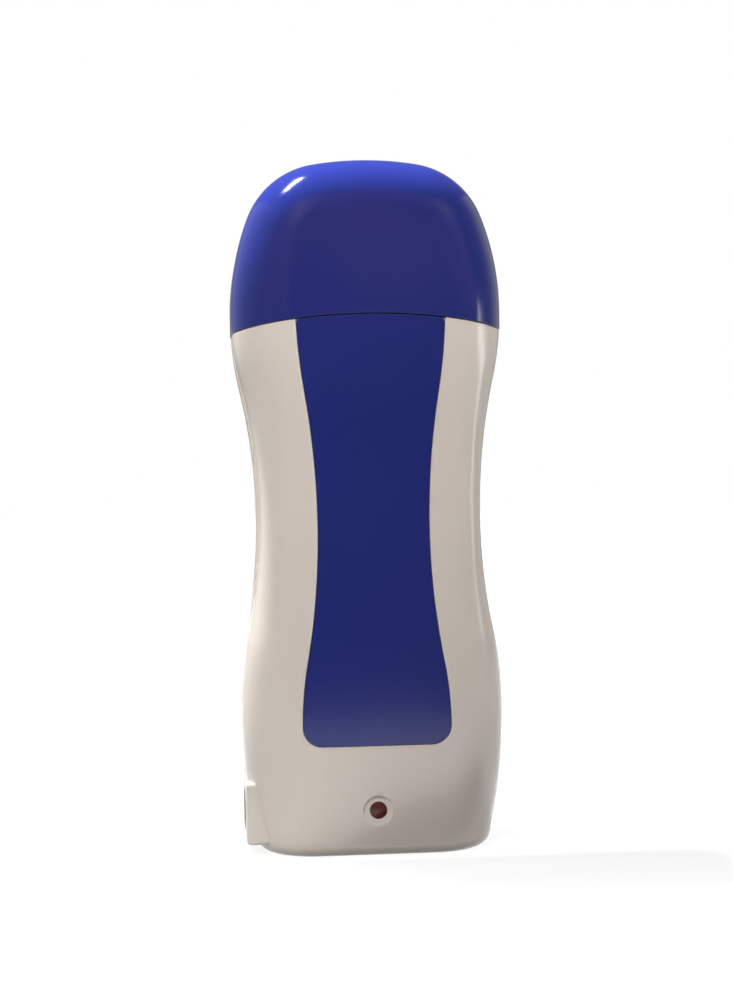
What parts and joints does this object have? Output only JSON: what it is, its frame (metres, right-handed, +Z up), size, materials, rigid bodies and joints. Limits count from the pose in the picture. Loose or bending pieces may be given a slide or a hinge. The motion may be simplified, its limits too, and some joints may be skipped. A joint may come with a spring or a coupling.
{
  "type": "roll-on wax heater",
  "caption": "Waisted upright heater with a lift-off cap, an inlaid front panel, a lamp and a side power inlet, holding a roll-on wax cartridge.",
  "frame": {"origin": "on the surface that the heater stands on, under the middle of its box", "axes": "+Z up, +X to the right and -Y towards the viewer of the front panel"},
  "size_m": [0.0794, 0.056, 0.2033],
  "materials": {
    "shell": "glossy warm off-white moulding",
    "blue": "glossy royal blue moulding",
    "collar": "satin off-white moulding",
    "chamber": "heat-resistant light grey moulding",
    "aluminium": "plain sheet",
    "element": "pressed casing",
    "mica": "insulating sheet",
    "steel": "zinc-plated",
    "black_plastic": "moulded",
    "board": "lacquered board",
    "resistor": "lacquered",
    "lens": "clear dark red",
    "contact": "nickel-plated",
    "lead": "silicone sleeve",
    "bottle": "natural translucent plastic",
    "wax": "honey wax, set",
    "head": "moulded",
    "roller": "smooth moulded"
  },
  "bodies": {
    "housing": {"front_shell": "shell", "rear_shell": "shell", "front_panel": "blue", "neck_collar": "collar", "case_screws": "steel", "chamber_front": "chamber", "chamber_rear": "chamber", "heater_plate": "aluminium", "heating_element": "element", "insulating_sheet": "mica", "element_clamp": "steel", "clamp_screws": "steel", "thermostat": "black_plastic", "thermal_fuse": "aluminium", "circuit_board": "board", "board_screws": "steel", "resistors": "resistor", "indicator_lamp": "lens", "lamp_lens": "lens", "inlet_housing": "shell", "inlet_socket": "black_plastic", "inlet_pins": "contact", "inlet_leads": "lead", "heater_leads": "lead"},
    "cartridge": {"wax_bottle": "bottle", "wax_fill": "wax", "applicator_head": "head", "roller_axle": "steel"},
    "roller": {"roller": "roller"},
    "cap": {"cap": "blue"}
  },
  "joints": [
    {"name": "cartridge_lift", "type": "slide", "parent": "housing", "child": "cartridge", "axis": [0, 0, 1], "range_m": [0, 0.13]},
    {"name": "roller_spin", "type": "hinge", "parent": "cartridge", "child": "roller", "pos_m": [0, -0.001, 0.1815], "axis": [1, 0, 0], "continuous": true},
    {"name": "cap_lift", "type": "slide", "parent": "cartridge", "child": "cap", "axis": [0, 0, 1], "range_m": [0, 0.06]}
  ]
}
